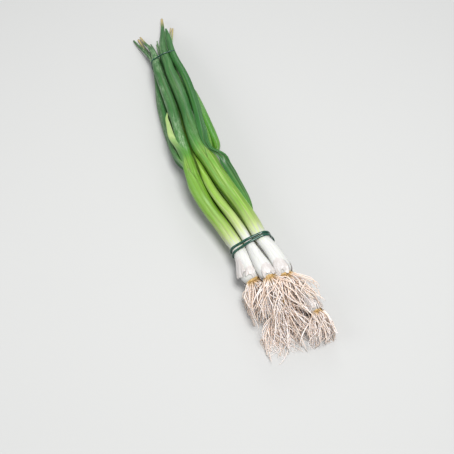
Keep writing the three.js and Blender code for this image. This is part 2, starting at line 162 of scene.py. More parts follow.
class StageSizes(bpy.types.PropertyGroup):
    """Where the camera stands, and what the bunch lies on"""

    azimuth: angle_property("Azimuth", "Camera's turn round the bunch", -24)
    elevation: angle_property("Elevation", "Camera's height as an angle", 62)
    distance: length_property("Distance", "From the rubber band to the camera", 0.59)
    lens: FloatProperty(name="Lens", description="Focal length in millimetres", default=50)
    band_x: FloatProperty(name="Band x", description="Pixels from the left to the band", default=251)
    band_y: FloatProperty(name="Band y", description="Pixels from the top to the band", default=247)
    floor: colour_property("Floor", "Colour of the floor", 0.50, 0.50, 0.49)


PICTURE_SIZE = 454
SENSOR_WIDTH = 36


# Smooth curves through the solids' cross-sections

SECTION_POINTS = 10  # points in each cross-section of a solid
SAME_CORNER = 0.03 * MM  # corners of a cross-section that are nearer than this are one
SAME_SECTION = 0.2 * MM  # corners within this of a cross-section's y belong to it
WRAPPED = 3  # corners repeated past each end of a ring, so that its curve closes smoothly
FINE_TURNS = 120  # places round a smooth cross-section, with straight lines between them


def eased(knots, values, places):
    """Values at the places, on a smooth curve through the values at the knots."""
    knots, values, places = (np.asarray(each, float) for each in (knots, values, places))
    slopes = np.gradient(values, knots, axis=0)
    at = np.clip(np.searchsorted(knots, places, side="right") - 1, 0, len(knots) - 2)
    shape = (-1,) + (1,) * (values.ndim - 1)
    step = (knots[at + 1] - knots[at]).reshape(shape)
    t = np.clip((places - knots[at]).reshape(shape) / step, 0, 1)
    first = (1 + 2 * t) * (1 - t) ** 2 * values[at] + t * (1 - t) ** 2 * step * slopes[at]
    second = t * t * (3 - 2 * t) * values[at + 1] + t * t * (t - 1) * step * slopes[at + 1]
    return first + second


def ramp(value, low, high):
    """0 below low, 1 above high, and smooth between."""
    t = np.clip((np.asarray(value, float) - low) / (high - low), 0, 1)
    return t * t * (3 - 2 * t)


def mixed(a, b, share):
    return a + (b - a) * share


def in_columns(values, like):
    """One value to a row, repeated for all of its columns."""
    return np.broadcast_to(values[:, None], like.shape[:2])


def with_height(across, along):
    """(x, z) points with their y, which is one to a row or one to a point, put in."""
    along = np.broadcast_to(along.reshape(len(along), -1), across.shape[:2])
    return np.stack([across[:, :, 0], along, across[:, :, 1]], axis=2)


def pushed_out(across, middle, amount):
    """(x, z) points moved away from the middle."""
    outward = across - middle
    outward = outward / np.linalg.norm(outward, axis=2, keepdims=True)
    return across + outward * amount[:, :, None]


def ordered_ring(points):
    """The corners of one cross-section in order round it, without repeats or the middle of an end face."""
    middle = points.mean(axis=0)
    angles = np.arctan2(points[:, 1] - middle[1], points[:, 0] - middle[0]) % FULL_TURN
    ring = points[np.argsort(angles)]
    apart = np.linalg.norm(ring - np.roll(ring, 1, axis=0), axis=1)
    ring = ring[apart > SAME_CORNER]
    if len(ring) == SECTION_POINTS + 1:
        ring = np.delete(ring, np.argmin(np.linalg.norm(ring - middle, axis=1)), axis=0)
    if len(ring) != SECTION_POINTS:
        raise RuntimeError(f"a cross-section has {len(ring)} corners")
    return ring


def aligned_ring(ring, before):
    """The ring turned so that its corners follow on from those of the ring before."""
    here = ring - ring.mean(axis=0)
    turned = [np.roll(here, -k, axis=0) for k in range(SECTION_POINTS)]
    best = min(range(SECTION_POINTS), key=lambda k: np.sum((turned[k] - before) ** 2))
    return np.roll(ring, -best, axis=0)


class Rod:
    """A shank or leaf as its solid gives it: cross-sections in planes across the bunch."""

    def __init__(self, node):
        self.node = node
        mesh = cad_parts[node].data
        points = np.empty(3 * len(mesh.vertices))
        mesh.vertices.foreach_get("co", points)
        points = np.unique(points.reshape(-1, 3).round(5), axis=0)
        self.knots = np.unique(points[:, 1].round(4))
        corners = np.arange(SECTION_POINTS) * FULL_TURN / SECTION_POINTS
        before = 4 * MM * np.stack([np.cos(corners), np.sin(corners)], axis=1)
        rings = []
        for knot in self.knots:
            here = points[np.abs(points[:, 1] - knot) < SAME_SECTION][:, [0, 2]]
            ring = aligned_ring(ordered_ring(here), before)
            before = ring - ring.mean(axis=0)
            rings.append(ring)
        self.rings = np.array(rings)
        self.start, self.tip = self.knots[0], self.knots[-1]
        self.middles = self.rings.mean(axis=1)
        self.radii = np.linalg.norm(self.rings - self.middles[:, None], axis=2).mean(axis=1)

    def middle(self, along):
        return eased(self.knots, self.middles, along)

    def radius(self, along):
        return eased(self.knots, self.radii, along)

    def skin(self, along, turns):
        """(x, z) on the smooth skin, a row for each y and a column for each turn. Turns may vary by row."""
        wrapped = np.concatenate([self.rings[:, -WRAPPED:], self.rings, self.rings[:, :WRAPPED]], axis=1)
        spots = np.arange(-WRAPPED, SECTION_POINTS + WRAPPED) / SECTION_POINTS
        fine = np.arange(FINE_TURNS) / FINE_TURNS
        around = np.swapaxes(eased(spots, np.swapaxes(wrapped, 0, 1), fine), 0, 1)
        rows = eased(self.knots, around, along)
        turns = np.broadcast_to(turns, (len(rows), np.shape(turns)[-1]))
        return np.stack(
            [
                np.stack([np.interp(turn, fine, row[:, axis], period=1) for axis in (0, 1)], axis=1)
                for row, turn in zip(rows, turns)
            ]
        )


RODS = {node: Rod(node) for node in SHANK_NODES + LEAF_NODES}
SHANKS = [RODS[node] for node in SHANK_NODES]


def shank_of(node):
    return RODS["_".join(node.split("_")[:2]) + "_shank"]


def fork_of(shank):
    """The y at which the last of a shank's side leaves starts."""
    onion = shank.node.rsplit("_", 1)[0]
    return max(RODS[node].start for node in LEAF_NODES if node.startswith(onion + "_"))


# Making and finishing meshes


def deselect_all():
    if bpy.context.object and bpy.context.object.mode != "OBJECT":
        bpy.ops.object.mode_set(mode="OBJECT")
    bpy.ops.object.select_all(action="DESELECT")


def vertex_places(piece):
    places = np.empty(3 * len(piece.data.vertices))
    piece.data.vertices.foreach_get("co", places)
    return places.reshape(-1, 3)


def move_vertices(piece, places):
    piece.data.vertices.foreach_set("co", np.ascontiguousarray(places, dtype=np.float32).ravel())
    piece.data.update()


def mark_vertices(piece, marks):
    """Stores each mark, one number or one vector to a vertex, as an attribute."""
    for name, values in marks.items():
        values = np.ascontiguousarray(values, dtype=np.float32)
        kind, key = ("FLOAT_VECTOR", "vector") if values.ndim == 2 else ("FLOAT", "value")
        attribute = piece.data.attributes.new(name, kind, "POINT")
        attribute.data.foreach_set(key, values.ravel())


def finish_mesh(piece, name, material):
    """Merges the seam and poles, turns the faces outwards, smooths them and gives the piece its finish."""
    piece.name = piece.data.name = name
    bpy.ops.object.mode_set(mode="EDIT")
    bpy.ops.mesh.select_all(action="SELECT")
    bpy.ops.mesh.remove_doubles(threshold=1e-6)
    bpy.ops.mesh.normals_make_consistent(inside=False)
    bpy.ops.object.mode_set(mode="OBJECT")
    bpy.ops.object.shade_smooth()
    piece.data.materials.clear()
    piece.data.materials.append(material)
    return piece


def rolled_sheet(name, places, marks, material):
    """A grid whose vertices go to the given places, as rows along the piece and columns round it."""
    rows, columns = places.shape[0] - 1, places.shape[1] - 1
    deselect_all()
    bpy.ops.mesh.primitive_grid_add(x_subdivisions=columns, y_subdivisions=rows, size=2)
    piece = bpy.context.object
    flat = (vertex_places(piece) + 1) / 2
    column = np.rint(flat[:, 0] * columns).astype(int)
    row = np.rint(flat[:, 1] * rows).astype(int)
    move_vertices(piece, places[row, column])
    mark_vertices(piece, {key: values[row, column] for key, values in marks.items()})
    return finish_mesh(piece, name, material)


def place_piece(piece, slot, *nodes):
    """The piece rides on the bunch and stands for the named solids; the slot is not used."""
    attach(piece, BODY)
    if nodes:
        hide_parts(*nodes)
    return piece


# Materials


class Finish:
    """A material under construction: adds nodes, sets their values and joins them."""

    def __init__(self, name):
        self.material = bpy.data.materials.new(name)
        self.material.use_nodes = True
        self.tree = self.material.node_tree
        self.shader = self.tree.nodes["Principled BSDF"]

    def link(self, source, target):
        self.tree.links.new(source, target)

    def fill(self, socket, value):
        if isinstance(value, bpy.types.NodeSocket):
            self.link(value, socket)
        else:
            socket.default_value = value

    def attribute(self, name, output="Fac"):
        node = self.tree.nodes.new("ShaderNodeAttribute")
        node.attribute_name = name
        return node.outputs[output]

    def noise(self, vector, fineness, detail=3.0, roughness=0.5):
        """A noise with its own fineness along each coordinate, in waves to the metre."""
        mapping = self.tree.nodes.new("ShaderNodeMapping")
        self.link(vector, mapping.inputs["Vector"])
        mapping.inputs["Scale"].default_value = fineness
        node = self.tree.nodes.new("ShaderNodeTexNoise")
        self.link(mapping.outputs["Vector"], node.inputs["Vector"])
        node.inputs["Scale"].default_value = 1
        node.inputs["Detail"].default_value = detail
        node.inputs["Roughness"].default_value = roughness
        return node.outputs["Fac"]

    def math(self, operation, *values):
        node = self.tree.nodes.new("ShaderNodeMath")
        node.operation = operation
        for socket, value in zip(node.inputs, values):
            self.fill(socket, value)
        return node.outputs["Value"]

    def product(self, first, *others):
        for other in others:
            first = self.math("MULTIPLY", first, other)
        return first

    def plus_share(self, value, added, share):
        return self.math("MULTIPLY_ADD", added, share, value)

    def swayed(self, value, noise, amount):
        """The value, moved up and down by a noise."""
        return self.plus_share(value, self.math("SUBTRACT", noise, 0.5), amount)

    def span(self, value, low, high, to_low=0.0, to_high=1.0):
        node = self.tree.nodes.new("ShaderNodeMapRange")
        node.interpolation_type = "SMOOTHSTEP"
        self.link(value, node.inputs["Value"])
        for socket, number in zip(node.inputs[1:5], (low, high, to_low, to_high)):
            socket.default_value = number
        return node.outputs["Result"]

    def mix(self, share, first, second, blend="MIX"):
        node = self.tree.nodes.new("ShaderNodeMix")
        node.data_type = "RGBA"
        node.blend_type = blend
        sockets = [s for s in node.inputs if s.type == "RGBA"]
        self.fill(node.inputs[0], share)
        self.fill(sockets[0], first)
        self.fill(sockets[1], second)
        return next(s for s in node.outputs if s.type == "RGBA")

    def colours(self, value, stops):
        node = self.tree.nodes.new("ShaderNodeValToRGB")
        elements = node.color_ramp.elements
        while len(elements) < len(stops):
            elements.new(0.5)
        for element, (place, colour) in zip(elements, stops):
            element.position = place
            element.color = colour
        self.link(value, node.inputs["Fac"])
        return node.outputs["Color"]

    def bump(self, height, distance, strength=1.0, below=None):
        node = self.tree.nodes.new("ShaderNodeBump")
        node.inputs["Distance"].default_value = distance
        node.inputs["Strength"].default_value = strength
        self.link(height, node.inputs["Height"])
        if below is not None:
            self.link(below, node.inputs["Normal"])
        return node.outputs["Normal"]

    def surface(self, **values):
        for name, value in values.items():
            self.fill(self.shader.inputs[name.replace("_", " ")], value)
        return self.material


def plant_finish():
    """White moist shank, lime and green stem, and deep green leaf with grey wax, all in one finish."""
    colours = bpy.context.scene.onion_colours
    finish = Finish("plant_skin")
    grown = finish.attribute("grown", "Vector")
    growth = finish.attribute("growth")
    bloom = finish.attribute("bloom")
    lines = finish.noise(grown, (1300, 1300, 13), 3, 0.55)
    broad_lines = finish.noise(grown, (480, 480, 7), 3, 0.5)
    streaks = finish.noise(grown, (640, 640, 14), 4, 0.6)
    patches = finish.noise(grown, (150, 150, 45), 4, 0.6)
    clouds = finish.noise(grown, (95, 95, 24), 3, 0.5)
    speckle = finish.noise(grown, (680, 680, 230), 5, 0.75)

    # From white to deep green, with edges that wander along the lines
    wander = finish.swayed(growth, lines, 0.30)
    wander = finish.swayed(wander, broad_lines, 0.34)
    wander = finish.swayed(wander, patches, 0.12)
    wander = finish.plus_share(wander, finish.attribute("tint"), 0.05)
    stops = [(0.0, colours.white), (0.15, colours.white), (0.29, colours.pale)]
    stops += [(0.45, colours.lime), (0.68, colours.green), (0.90, colours.deep)]
    base = finish.colours(wander, stops)

    # Dark veins, and pale streaks that fade towards the leaf
    fine_veins = finish.span(lines, 0.36, 0.64, 0.72, 1.18)
    broad_veins = finish.span(broad_lines, 0.36, 0.64, 0.70, 1.16)
    veins = finish.mix(finish.product(fine_veins, broad_veins), (0, 0, 0, 1), (1, 1, 1, 1))
    veined = finish.mix(finish.span(growth, 0.05, 0.30, 0.30, 1.0), base, veins, "MULTIPLY")
    streak_share = finish.product(
        finish.span(streaks, 0.52, 0.70),
        finish.span(growth, 0.45, 0.75, 0.55, 0.12),
        finish.span(growth, 0.10, 0.30),
    )
    streaked = finish.mix(streak_share, veined, colours.pale)

    # Grey wax in clouds, thin edges and dried tips
    wax_share = finish.product(
        finish.span(clouds, 0.40, 0.60, 0.10, 1.0),
        finish.span(speckle, 0.43, 0.58, 0.12, 1.0),
        finish.span(lines, 0.36, 0.60, 0.35, 1.0),
        bloom,
    )
    waxed = finish.mix(wax_share, streaked, colours.bloom)
    edged = finish.mix(finish.attribute("edge"), waxed, colours.membrane)
    dry_share = finish.product(finish.attribute("dry"), finish.span(patches, 0.2, 0.6, 0.6, 1.0))
    dried = finish.mix(dry_share, edged, colours.straw)

    roughness = finish.plus_share(finish.span(speckle, 0.3, 0.7, 0.27, 0.41), bloom, 0.10)
    roughness = finish.plus_share(roughness, growth, 0.15)
    ridges = finish.bump(lines, 0.14 * MM, 0.7)
    return finish.surface(
        Base_Color=dried,
        Roughness=roughness,
        Normal=finish.bump(speckle, 0.08 * MM, 0.3, ridges),
        Subsurface_Weight=0.10,
        Subsurface_Radius=(0.9, 1.0, 0.5),
        Subsurface_Scale=2 * MM,
        Specular_IOR_Level=0.55,
        Coat_Weight=0.10,
        Coat_Roughness=0.25,
    )


def paper_finish():
    """Thin dry skin that peels off a shank, pinkish white with fine lines."""
    finish = Finish("papery_skin")
    lines = finish.noise(finish.attribute("grown", "Vector"), (1500, 1500, 60), 4, 0.6)
    pinkish, greyish, whitish = (0.56, 0.48, 0.42, 1), (0.65, 0.60, 0.57, 1), (0.68, 0.66, 0.64, 1)
    return finish.surface(
        Base_Color=finish.colours(lines, [(0.3, pinkish), (0.5, greyish), (0.7, whitish)]),
        Roughness=0.38,
        Normal=finish.bump(lines, 0.2 * MM, 0.7),
        Subsurface_Weight=0.25,
        Subsurface_Radius=(1.0, 0.9, 0.8),
        Subsurface_Scale=2 * MM,
    )


def root_finish():
    """Dry pinkish cream roots, tan where they leave the plate."""
    colours = bpy.context.scene.onion_colours
    cream, brown = (0.90, 0.82, 0.78, 1), (0.60, 0.44, 0.32, 1)
    finish = Finish("root_strands")
    grain = finish.noise(finish.attribute("grown", "Vector"), (900, 900, 260))
    fresh = finish.mix(finish.span(finish.attribute("tint"), 0.1, 0.8), colours.root, cream)
    aged = finish.mix(finish.span(finish.attribute("growth"), 0.0, 0.17, 0.95, 0.0), fresh, colours.tan)
    return finish.surface(
        Base_Color=finish.mix(finish.span(grain, 0.35, 0.75, 0.0, 0.3), aged, brown),
        Roughness=0.55,
        Normal=finish.bump(grain, 0.15 * MM, 0.5),
        Subsurface_Weight=0.3,
        Subsurface_Radius=(1.0, 0.8, 0.6),
        Subsurface_Scale=1.5 * MM,
    )


def plate_finish():
    """Fibrous tan root plate."""
    dark, light = (0.20, 0.11, 0.04, 1), (0.66, 0.50, 0.28, 1)
    finish = Finish("root_plate")
    grain = finish.noise(finish.attribute("grown", "Vector"), (700, 700, 700), 5, 0.65)
    stops = [(0.3, dark), (0.5, bpy.context.scene.onion_colours.tan), (0.7, light)]
    return finish.surface(
        Base_Color=finish.colours(grain, stops), Roughness=0.75, Normal=finish.bump(grain, 0.5 * MM, 0.8)
    )


def rubber_finish():
    """Dark green rubber with a soft gloss and fine moulding marks."""
    worn = (0.008, 0.10, 0.06, 1)
    finish = Finish("green_rubber")
    marks = finish.noise(finish.attribute("grown", "Vector"), (500, 500, 90))
    worn_share = finish.span(marks, 0.3, 0.75, 0.0, 0.6)
    return finish.surface(
        Base_Color=finish.mix(worn_share, bpy.context.scene.onion_colours.rubber, worn),
        Roughness=finish.span(marks, 0.3, 0.7, 0.20, 0.36),
        Normal=finish.bump(marks, 0.08 * MM, 0.5),
        Coat_Weight=0.3,
        Coat_Roughness=0.2,
    )


def floor_finish():
    finish = Finish("floor")
    return finish.surface(Base_Color=bpy.context.scene.onion_stage.floor, Roughness=0.85)


def finish_named(name, make):
    return bpy.data.materials.get(name) or make()


# How green a plant is along its length

SHANK_DRY_TIP = 22 * MM
LEAF_DRY_TIP = 26 * MM
RIMS = (0.55, 0.85, 0.96)  # sizes of the rows that round off a tube's end, as shares of the end row's


def green_from(shank):
    """The y from which a shank turns deep green and grows its grey bloom."""
    return fork_of(shank) + LATE_GREEN.get(shank.node, 0) * MM


def stem_growth(shank, along):
    """0 at the white base, rising to nearly 1 where the youngest leaf is deep green."""
    green = green_from(shank)
    knots = [
        (shank.start, 0.0),
        (BAND_Y - 16 * MM, 0.02),
        (BAND_Y + 2 * MM, 0.14),
        (BAND_Y + 20 * MM, 0.31),
        (BAND_Y + 40 * MM, 0.43),
        (max(fork_of(shank) - 6 * MM, BAND_Y + 50 * MM), 0.52),
        (green + 12 * MM, 0.74),
        (green + 45 * MM, 0.86),
        (max(green + 80 * MM, shank.tip), 0.95),
    ]
    return np.interp(along, *zip(*knots))


def leaf_growth(leaf, along):
    """A side leaf is as green as its stem where it starts, and soon deeper."""
    stem = stem_growth(shank_of(leaf.node), along)
    places = [leaf.start - 10 * MM, leaf.start + 22 * MM, leaf.start + 80 * MM]
    own = np.interp(along, places, [0, 0.16, 0.30])
    if leaf.node in BRIGHT_LEAVES:
        stem, own = np.minimum(stem, 0.58), 0.4 * own
    return np.minimum(stem + own, 0.97)


def tint_of(index):
    """A small difference in colour between one onion and the next, from -1 to 1."""
    return random.Random(index).uniform(-1, 1)


def grown_places(turns, radius, along):
    """Coordinates on the plant as if it stood straight, for patterns that follow it."""
    angles = FULL_TURN * np.broadcast_to(turns, (len(along), np.shape(turns)[-1]))
    radius = np.broadcast_to(np.asarray(radius).reshape(len(along), -1), angles.shape)
    height = np.broadcast_to(np.asarray(along).reshape(-1, 1), angles.shape)
    return np.stack([radius * np.cos(angles), radius * np.sin(angles), height], axis=2)


def rows_between(start, stop, step):
    return np.linspace(start, stop, max(2, math.ceil((stop - start) / step) + 1))


def closed_tube(places, marks):
    """Adds rows at both ends that close a tube with a rounded face, with the marks of its end rows."""
    first, last = places[0], places[-1]
    first_middle, last_middle = first.mean(axis=0), last.mean(axis=0)
    opening = [first_middle + (first - first_middle) * size for size in (0.0, *RIMS)]
    closing = [last_middle + (last - last_middle) * size for size in (*reversed(RIMS), 0.0)]
    rows = [0] * len(opening) + list(range(len(places))) + [-1] * len(closing)
    return np.concatenate([opening, places, closing]), {key: values[rows] for key, values in marks.items()}


def sheet_columns(columns):
    """Round a thin closed sheet: each column's turn, whether it is outside, and its place from -1 to 1."""
    turn = np.arange(columns + 1) / columns
    from_middle = (turn + 0.5) % 1 - 0.5
    outer = np.abs(from_middle) <= 0.25
    return turn, outer, np.where(outer, from_middle, 0.5 - turn) * 4


def ribs(turns, along, seed):
    """A few uneven lengthwise ribs, between -1 and 1."""
    draw = random.Random(seed)
    counts = (5, 9, 14, 23)
    height = 0
    for count in counts:
        phase, sway = draw.uniform(0, 6.28), draw.uniform(0.3, 1.0)
        wave = sway * np.sin(along.reshape(-1, 1) / (60 * MM) + phase)
        height = height + np.sin(FULL_TURN * count * turns + phase * count + wave) / len(counts)
    return height


# Shanks


def build_shank(shank, index):
    sizes = bpy.context.scene.onion_skin
    turns = np.arange(sizes.columns + 1) / sizes.columns
    along = rows_between(shank.start, shank.tip, sizes.row_step)
    height = ribs(turns, along, index) * sizes.rib_height
    across = pushed_out(shank.skin(along, turns), shank.middle(along)[:, None], height)
    green = green_from(shank)
    bloom = THIN_BLOOM.get(shank.node, 1) * ramp(along, green - 10 * MM, green + 16 * MM)
    dried = index % 3 != 1
    marks = {
        "grown": grown_places(turns, shank.radius(along), along) + index,
        "growth": in_columns(stem_growth(shank, along), across),
        "bloom": in_columns(bloom, across),
        "edge": np.zeros(height.shape),
        "dry": in_columns(ramp(along, shank.tip - SHANK_DRY_TIP, shank.tip) * dried, across),
        "tint": np.full(height.shape, tint_of(index)),
    }
    places, marks = closed_tube(with_height(across, along), marks)
    piece = rolled_sheet(shank.node + "_skin", places, marks, finish_named("plant_skin", plant_finish))
    return place_piece(piece, "shank", shank.node)


class ONIONS_OT_shanks(bpy.types.Operator):
    """Build each shank with its youngest leaf"""

    bl_idname = "onions.shanks"
    bl_label = "Build shanks"

    def execute(self, context):
        for index, shank in enumerate(SHANKS):
            build_shank(shank, index)
        return {"FINISHED"}


# Papery skins that peel off the shanks' bases

PAPERS = 3  # on each shank
PAPER_COLUMNS = 36
PAPER_ROWS = 18
PAPER_WAVES = 5
PAPER_SEED = 60
PAPER_LIFT = 1.4 * MM  # how far the lower edge peels off
PAPER_TEAR = 4 * MM  # how far the lower edge goes up and down
PAPER_ARCH = 5 * MM  # how much lower the upper edge is at its sides than in the middle
PAPER_TUCK = 0.3 * MM  # how far a skin starts off the shank, and ends under its surface
PAPER_THICKNESS = 0.16 * MM


def build_paper(shank, number, side, spread, low, high, lift, seed):
    """A thin sheet on a shank from y = low, where it is torn and lifted, to high, where it is tucked in."""
    draw = np.random.default_rng(seed)
    turn, outer, swing = sheet_columns(PAPER_COLUMNS)
    waves = [(draw.uniform(2, 9), draw.uniform(0, 6.28)) for _ in range(PAPER_WAVES)]

    def wavy(faster, shift):
        return sum(np.sin(swing * pace * faster + shift + phase) for pace, phase in waves) / PAPER_WAVES

    share = np.linspace(0, 1, PAPER_ROWS)[:, None]
    along = mixed(low + PAPER_TEAR * wavy(1, 0), high - PAPER_ARCH * swing**2, share)
    turns = side + spread * swing * (1 - 0.25 * share)
    columns = range(PAPER_COLUMNS + 1)
    across = np.stack([shank.skin(along[:, k], turns[:, k : k + 1])[:, 0] for k in columns], axis=1)
    middle = np.stack([shank.middle(along[:, k]) for k in columns], axis=1)
    peel = lift * (1 - share) ** 1.5 * (0.45 + 0.55 * swing**2 + 0.6 * wavy(1.7, 9 * share))
    off = peel + mixed(PAPER_TUCK, -PAPER_TUCK, share**4) - np.where(outer, 0, PAPER_THICKNESS)
    places = with_height(pushed_out(across, middle, off), along)
    marks = {"grown": grown_places(turn, np.full(PAPER_ROWS, 6 * MM), share[:, 0] * 30 * MM)}
    name = f"{shank.node}_paper_{number}"
    piece = rolled_sheet(name, places, marks, finish_named("papery_skin", paper_finish))
    return place_piece(piece, "shank")


class ONIONS_OT_papers(bpy.types.Operator):
    """Build the papery skins round the shanks' bases"""

    bl_idname = "onions.papers"
    bl_label = "Build papery skins"

    def execute(self, context):
        draw = random.Random(8)
        for index, shank in enumerate(SHANKS):
            for number in range(PAPERS):
                side = number / PAPERS + draw.uniform(-0.1, 0.1)
                high = shank.start + draw.uniform(10, 20) * MM
                low = shank.start + draw.uniform(-1.5, 2.5) * MM
                spread = draw.uniform(0.10, 0.17)
                seed = PAPER_SEED + PAPERS * index + number
                build_paper(shank, number + 1, side, spread, low, high, PAPER_LIFT, seed)
        # The left front shank has one more, which peels off just below the band.
        low, high = BAND_Y - 27 * MM, BAND_Y - 4 * MM
        build_paper(SHANKS[0], PAPERS + 1, 0.42, 0.11, low, high, 2.6 * MM, 91)
        return {"FINISHED"}


# Side leaves

SHEATH_TUCK = 0.25 * MM  # how far the lower end of a leaf's base is under its shank's skin
SHEATH_DEPTH = 0.9 * MM  # how far its inner face is under that skin


def sheath_rows(leaf, along, columns):
    """A side leaf's base: a thin crescent round its shank, drawn narrower from its lower end upwards."""
    sizes = bpy.context.scene.onion_skin
    shank = shank_of(leaf.node)
    towards = leaf.middle([leaf.start])[0] - shank.middle([leaf.start])[0]
    side = math.atan2(towards[1], towards[0]) / FULL_TURN
    _, outer, swing = sheet_columns(columns)
    low = leaf.start - sizes.sheath_length
    reach = mixed(0.46, 0.20, ramp(along, low, leaf.start + 30 * MM))[:, None]
    turns = side + swing * reach
    rise = ramp(along, low, leaf.start - 4 * MM)[:, None]
    proud = mixed(0.35, 1.0, np.sqrt(np.clip(np.cos(swing * math.pi / 2), 0, 1)))
    lift = np.where(outer, rise * sizes.sheath_lift * proud - (1 - rise) * SHEATH_TUCK, -SHEATH_DEPTH)
    across = pushed_out(shank.skin(along, turns), shank.middle(along)[:, None], lift)
    return with_height(across, along), side, swing, turns


def tube_rows(leaf, along, turns, side):
    """The leaf's own tube, from its solid."""
    return with_height(leaf.skin(np.maximum(along, leaf.start), turns + side), along)


def build_leaf(leaf, index, own_rows=tube_rows, bloom_share=1.0, growth_shift=0.0, pale=0.0):
    """A side leaf, from its base on the shank to its own tube or ribbon."""
    sizes = bpy.context.scene.onion_skin
    turns = np.arange(sizes.columns + 1) / sizes.columns
    along = rows_between(leaf.start - sizes.sheath_length, leaf.tip, sizes.row_step)
    base, side, swing, around = sheath_rows(leaf, along, sizes.columns)
    free = ramp(along, leaf.start - 2 * MM, leaf.start + 36 * MM)[:, None]
    places = mixed(base, own_rows(leaf, along, turns, side), free[:, :, None])
    rim = np.exp(-(((np.abs(swing) - 1) / 0.10) ** 2))
    edge = rim * ramp(along, leaf.start - 26 * MM, leaf.start - 6 * MM)[:, None] * (1 - free) * 0.15
    bloom_from = leaf.start + (LATE_BLOOM if leaf.node in BRIGHT_LEAVES else 0)
    bloom = bloom_share * ramp(along, bloom_from - 4 * MM, bloom_from + 40 * MM)
    shank = shank_of(leaf.node)
    number = SHANKS.index(shank)
    stem_marks = grown_places(around, shank.radius(along), along)
    own_marks = grown_places(turns + side, leaf.radius(np.maximum(along, leaf.start)), along)
    marks = {
        "grown": mixed(stem_marks, own_marks, free[:, :, None]) + number,
        "growth": in_columns(leaf_growth(leaf, along), places) + growth_shift * free,
        "bloom": in_columns(bloom, places),
        "edge": np.maximum(edge, pale * free),
        "dry": in_columns(ramp(along, leaf.tip - LEAF_DRY_TIP, leaf.tip) * (index % 2), places),
        "tint": np.full(places.shape[:2], tint_of(number)),
    }
    places, marks = closed_tube(places, marks)
    piece = rolled_sheet(leaf.node + "_skin", places, marks, finish_named("plant_skin", plant_finish))
    return place_piece(piece, "leaf", leaf.node)


class ONIONS_OT_leaves(bpy.types.Operator):
    """Build the side leaves that are plain tubes"""

    bl_idname = "onions.leaves"
    bl_label = "Build side leaves"

    def execute(self, context):
        for index, node in enumerate(LEAF_NODES):
            if node not in (BENT_LEAF, TORN_STRIP):
                build_leaf(RODS[node], index)
        return {"FINISHED"}


# The leaf that is bent over the others, and the torn strip: collapsed tubes, so their sections are flat


def ribbon_rows(leaf, along, turns, side, width, depth, tilt, pleats, shift):
    """Flat sections square to the leaf's own line. All from width on are values at each row."""
    held = np.maximum(along, leaf.start)
    middle = leaf.middle(held) + shift
    line = np.stack([middle[:, 0], along, middle[:, 1]], axis=1)
    tangent = np.gradient(line, along, axis=0)
    tangent /= np.linalg.norm(tangent, axis=1, keepdims=True)
    upright = np.stack([np.sin(tilt), np.zeros_like(tilt), np.cos(tilt)], axis=1)
    across = np.cross(tangent, upright)
    across /= np.linalg.norm(across, axis=1, keepdims=True)
    face = np.cross(across, tangent)
    angle = FULL_TURN * (turns + side) - tilt[:, None]
    sideways = np.cos(angle) * width[:, None]
    crease = pleats[:, None] * np.cos(1.5 * math.pi * np.cos(angle))
    outward = np.sin(angle) * depth[:, None] + crease
    return line[:, None] + across[:, None] * sideways[:, :, None] + face[:, None] * outward[:, :, None]


# The bent leaf from its base to its tip: y past the rubber band, half its width, half its thickness, its
# tilt in degrees, the depth of its pleats, and how far it lies beside and above its solid's middle. The
# lengths are in millimetres.
BENT_SHAPE = np.array(
    [
        (10, 2.6, 2.2, 30, 0.0, 0.0, 0.0),
        (48, 5.2, 1.6, 34, 0.4, -0.6, 0.0),
        (74, 6.2, 1.2, 32, 0.5, -1.4, 0.0),
        (86, 6.0, 1.0, 26, 0.7, -0.4, -0.2),
        (92, 4.4, 0.8, 4, 1.0, 1.2, 0.2),
        (97, 2.4, 0.9, -24, 1.2, 0.0, 1.0),
        (102, 2.0, 1.0, -38, 1.0, -2.0, 0.4),
        (108, 2.8, 0.9, -26, 0.8, -1.4, 0.0),
        (120, 4.0, 1.0, -10, 0.5, 0.0, 0.0),
        (150, 4.2, 1.4, -8, 0.4, 0.0, 0.0),
        (220, 4.2, 2.7, 0, 0.2, 0.0, 0.0),
        (256, 3.8, 2.8, 0, 0.0, 0.0, 0.0),
        (290, 2.6, 1.9, 0, 0.0, 0.0, 0.0),
        (304, 1.0, 0.9, 0, 0.0, 0.0, 0.0),
    ]
)


def bent_rows(leaf, along, turns, side):
    past_band = (along - BAND_Y) / MM
    width, depth, degrees, pleats, beside, above = eased(BENT_SHAPE[:, 0], BENT_SHAPE[:, 1:], past_band).T
    width, depth, pleats = width * MM, depth * MM, pleats * MM
    shift = np.stack([beside, above], axis=1) * MM
    return ribbon_rows(leaf, along, turns, side, width, depth, np.radians(degrees), pleats, shift)


STRIP_TILT = -0.35  # radians


def strip_rows(leaf, along, turns, side):
    """Widest low down, and curled outwards and over at its torn tip."""
    share = np.clip((along - leaf.start) / (leaf.tip - leaf.start), 0, 1)
    width = eased([0, 0.3, 0.7, 1], [2.2, 3.7, 2.4, 0.8], share) * MM
    depth = mixed(0.8, 0.3, share) * MM
    curl = ramp(share, 0.8, 1)
    shift = np.stack([-1.2 * share + 2.6 * curl**2, 1.6 * share - 1.5 * curl**2], axis=1) * MM
    tilt, pleats = np.full(len(along), STRIP_TILT), np.zeros(len(along))
    return ribbon_rows(leaf, along, turns, side, width, depth, tilt, pleats, shift)


class ONIONS_OT_bent_leaves(bpy.types.Operator):
    """Build the leaf that is bent over the others and the torn strip"""

    bl_idname = "onions.bent_leaves"
    bl_label = "Build bent and torn leaves"

    def execute(self, context):
        build_leaf(RODS[BENT_LEAF], 2, bent_rows, bloom_share=0.0, growth_shift=0.16)
        build_leaf(RODS[TORN_STRIP], 4, strip_rows, bloom_share=0.0, growth_shift=-0.46, pale=0.35)
        return {"FINISHED"}


# Roots

